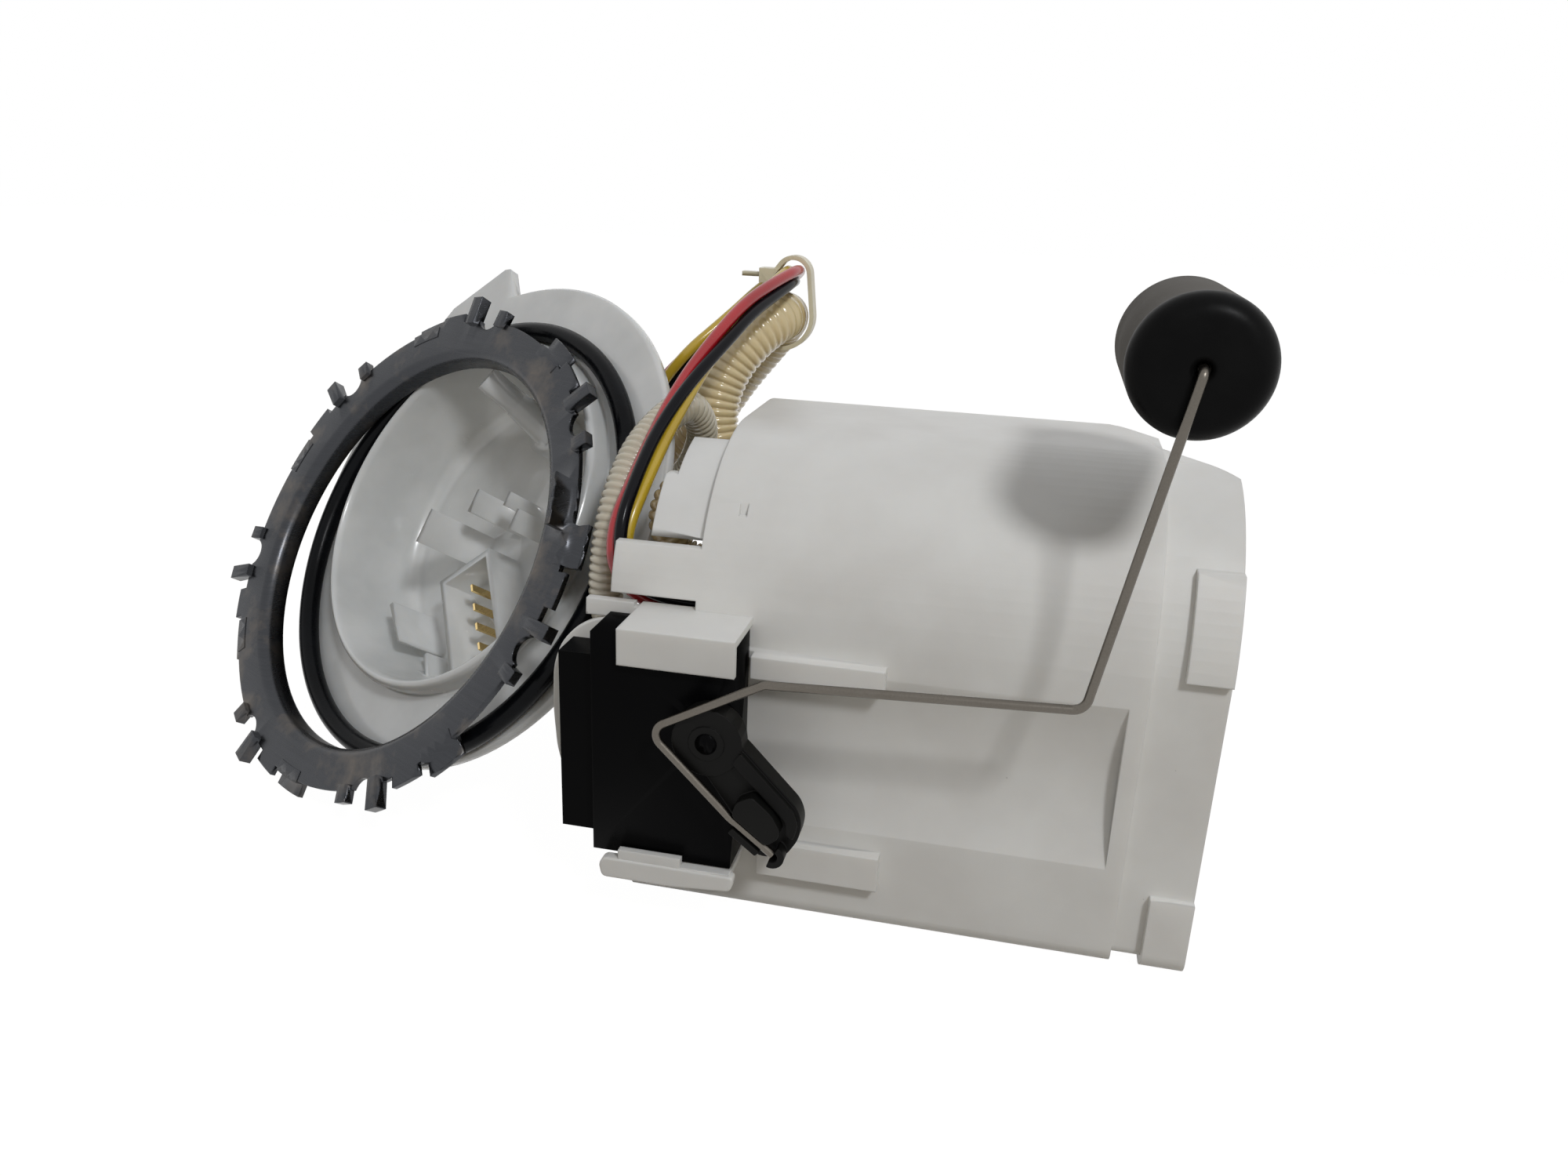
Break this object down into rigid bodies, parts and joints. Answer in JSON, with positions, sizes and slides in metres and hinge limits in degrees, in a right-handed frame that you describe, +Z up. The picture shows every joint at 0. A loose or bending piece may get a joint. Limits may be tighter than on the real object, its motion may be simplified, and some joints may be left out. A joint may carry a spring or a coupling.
{
  "type": "in-tank fuel pump",
  "caption": "In-tank fuel pump module with a white swirl pot, level float, hoses, wires, tank flange, seal and steel lock ring.",
  "frame": {"origin": "point on the resting plane under the pot, where the pot's flat lower side lies on the floor", "axes": "+X from the lid end to the pot's closed base, +Y away from the level sensor, +Z up"},
  "size_m": [0.3052, 0.155, 0.159],
  "materials": {
    "pot_plastic": "satin",
    "flange_plastic": "glossy",
    "sensor_plastic": "glossy",
    "steel": "satin",
    "seal_rubber": "glossy",
    "hose_plastic": "semi-gloss",
    "float_foam": "matte",
    "cast_alloy": "satin",
    "magnet": "matte",
    "paper": "matte",
    "mesh_cloth": "matte",
    "ceramic_card": "matte",
    "red_sheath": "satin",
    "black_sheath": "satin",
    "yellow_sheath": "satin",
    "brass": "satin"
  },
  "bodies": {
    "module": {"black_wire": "black_sheath", "brush_holder": "sensor_plastic", "brushes": "magnet", "cable_tie": "hose_plastic", "check_valve_case": "sensor_plastic", "feed_hose": "hose_plastic", "field_magnets": "magnet", "filter_cradle": "pot_plastic", "filter_element": "paper", "filter_housing": "pot_plastic", "filter_lid": "pot_plastic", "flange": "flange_plastic", "flange_plug": "flange_plastic", "inlet_strainer": "mesh_cloth", "jet_hose": "hose_plastic", "jet_nozzle": "brass", "jet_pump_tube": "pot_plastic", "pot_cover": "pot_plastic", "pot_shell": "pot_plastic", "pump_casing": "steel", "pump_inlet_cap": "cast_alloy", "pump_middle_plate": "cast_alloy", "pump_outlet_cap": "sensor_plastic", "pump_terminals": "brass", "red_wire": "red_sheath", "regulator_can": "steel", "regulator_cap": "steel", "regulator_spring": "steel", "resistor_card": "ceramic_card", "return_hose": "hose_plastic", "rubber_sleeve": "seal_rubber", "sensor_contacts": "brass", "sensor_housing": "sensor_plastic", "sensor_plug": "sensor_plastic", "socket_blades": "brass", "wire_grommet": "seal_rubber", "yellow_wire": "yellow_sheath"},
    "float_arm": {"float_lever": "sensor_plastic", "float_wire": "steel"},
    "float_body": {"float": "float_foam"},
    "rotor": {"rotor_shaft": "steel", "armature": "steel", "commutator": "brass", "impeller": "sensor_plastic"},
    "outlet_valve": {"check_valve_poppet": "sensor_plastic"},
    "pressure_valve": {"regulator_valve": "brass"},
    "base_valve": {"foot_valve": "seal_rubber"},
    "loose_seal": {"flange_seal": "seal_rubber"},
    "loose_ring": {"lock_ring": "steel"}
  },
  "joints": [
    {"name": "float_arm_swing", "type": "hinge", "parent": "module", "child": "float_arm", "pos_m": [-0.037, -0.0795, 0.0555], "axis": [0, -1, 0], "range_deg": [0, 78]},
    {"name": "float_spin", "type": "hinge", "parent": "float_arm", "child": "float_body", "pos_m": [0.056, -0.0714, 0.145], "axis": [0, -1, 0], "continuous": true},
    {"name": "rotor_spin", "type": "hinge", "parent": "module", "child": "rotor", "pos_m": [0, -0.008, 0.058], "axis": [1, 0, 0], "continuous": true},
    {"name": "outlet_valve_lift", "type": "slide", "parent": "module", "child": "outlet_valve", "axis": [-1, 0, 0], "range_m": [0, 0.0015]},
    {"name": "pressure_valve_lift", "type": "slide", "parent": "module", "child": "pressure_valve", "axis": [1, 0, 0], "range_m": [0, 0.0012], "stiffness_N_per_m": 1200, "springref_m": -0.0004},
    {"name": "base_valve_lift", "type": "slide", "parent": "module", "child": "base_valve", "axis": [-1, 0, 0], "range_m": [0, 0.0015]},
    {"name": "seal_lift_off", "type": "slide", "parent": "module", "child": "loose_seal", "axis": [-0.428, -0.7266, 0.5374], "range_m": [0, 0.06]},
    {"name": "ring_lift_off", "type": "slide", "parent": "loose_seal", "child": "loose_ring", "axis": [-0.428, -0.7266, 0.5374], "range_m": [0, 0.08]}
  ]
}
